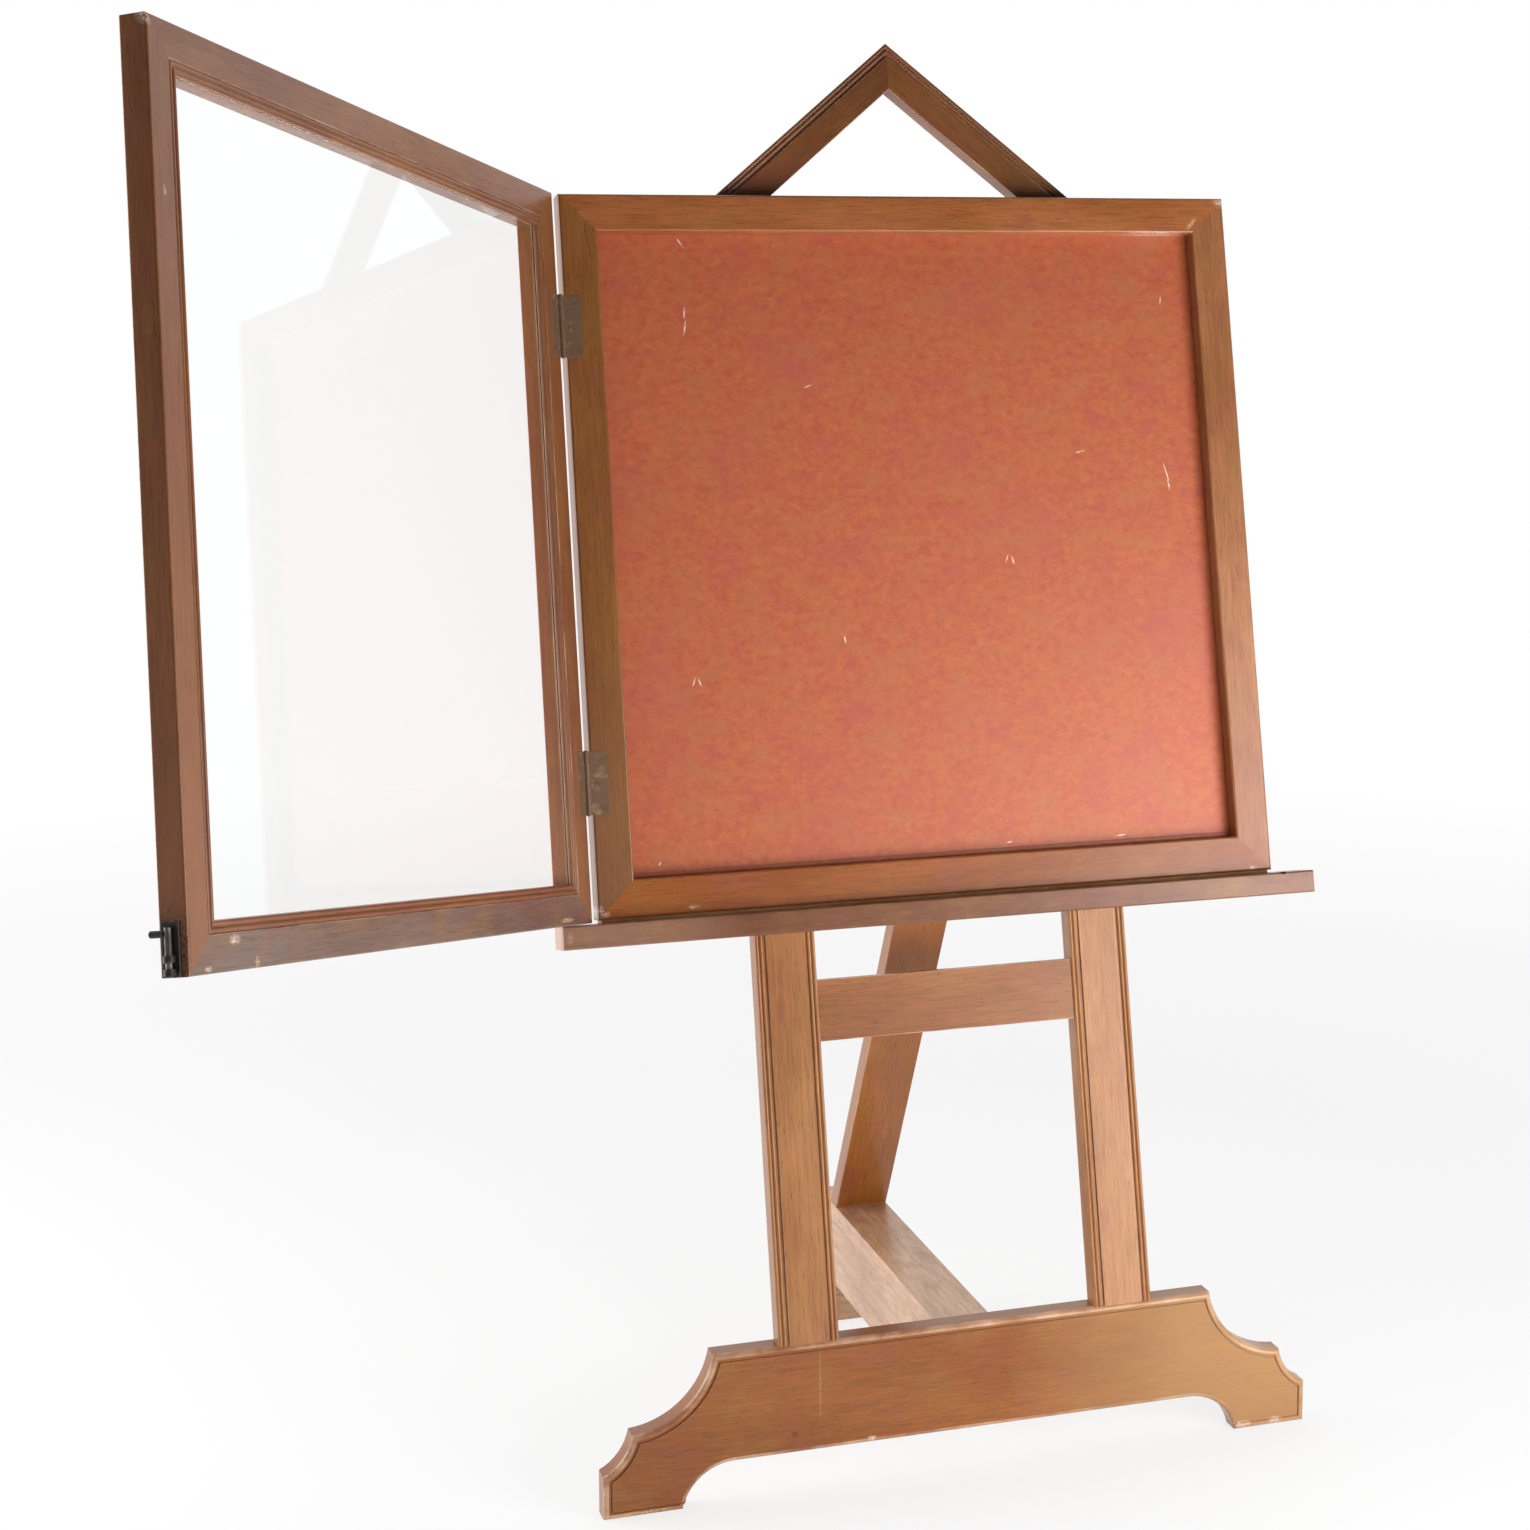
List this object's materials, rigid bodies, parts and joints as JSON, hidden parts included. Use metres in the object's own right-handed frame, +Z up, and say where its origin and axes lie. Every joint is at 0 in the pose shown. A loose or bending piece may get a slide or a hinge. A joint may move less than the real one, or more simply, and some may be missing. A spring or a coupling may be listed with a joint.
{
  "type": "display easel",
  "caption": "Leaning wooden stand with a shaped front foot, back strut, gable top and shelf, carrying a shallow display case with a hinged glass door.",
  "frame": {"origin": "on the floor, under the middle of the rear foot, on the stand's centre line", "axes": "+X to the right of someone facing the case, +Y to the back, +Z up"},
  "size_m": [1.2787, 1.0086, 1.5273],
  "materials": {
    "frame_wood": "stained and waxed hardwood with open straight grain, edges worn pale",
    "beam_wood": "stained hardwood, duller and greyer than the legs",
    "case_wood": "dark stained hardwood, satin",
    "door_wood": "stained hardwood with a greyed, worn polish",
    "back_wood": "plain unpolished board",
    "dowel_wood": "raw hardwood",
    "panel_cover": "brick-red leathercloth, matt, scratched and scuffed",
    "door_glass": "clear old sheet glass, a little dusty",
    "hinge_brass": "aged brass, brown with bright rubbed spots",
    "bolt_iron": "blackened iron, rubbed",
    "bolt_steel": "dull worn steel",
    "screw_steel": "dull steel"
  },
  "bodies": {
    "stand": {"front_foot": "frame_wood", "left_leg": "frame_wood", "right_leg": "frame_wood", "cross_rail": "frame_wood", "upper_rail": "frame_wood", "left_gable_arm": "frame_wood", "right_gable_arm": "frame_wood", "gable_dowels": "dowel_wood", "shelf": "case_wood", "shelf_screws": "screw_steel", "case_packing": "back_wood", "beam_top": "beam_wood", "beam_rail": "beam_wood", "rear_foot": "beam_wood", "rear_foot_dowels": "dowel_wood", "strut": "frame_wood", "strut_screws": "screw_steel", "case_left_stile": "case_wood", "case_right_stile": "case_wood", "case_top_rail": "case_wood", "case_bottom_rail": "case_wood", "case_back": "back_wood", "display_panel": "panel_cover", "case_screws": "screw_steel", "upper_case_leaf": "hinge_brass", "lower_case_leaf": "hinge_brass", "upper_hinge_pin": "hinge_brass", "lower_hinge_pin": "hinge_brass", "case_leaf_screws": "hinge_brass"},
    "door": {"door_hinge_stile": "door_wood", "door_lock_stile": "door_wood", "door_top_rail": "door_wood", "door_bottom_rail": "door_wood", "door_glass": "door_glass", "left_bead": "door_wood", "right_bead": "door_wood", "top_bead": "door_wood", "bottom_bead": "door_wood", "upper_door_leaf": "hinge_brass", "lower_door_leaf": "hinge_brass", "door_leaf_screws": "hinge_brass", "bolt_plate": "bolt_iron", "bolt_guides": "bolt_iron", "bolt_screws": "bolt_iron"},
    "bolt": {"bolt_rod": "bolt_steel", "bolt_knob": "bolt_iron"}
  },
  "joints": [
    {"name": "door_hinge", "type": "hinge", "parent": "stand", "child": "door", "pos_m": [-0.385, -0.30383, 0.98813], "axis": [0, -0.2164, -0.9763], "range_deg": [-125.3, 54.7]},
    {"name": "bolt_slide", "type": "slide", "parent": "door", "child": "bolt", "axis": [0, -0.2164, -0.9763], "range_m": [0, 0.012]}
  ]
}
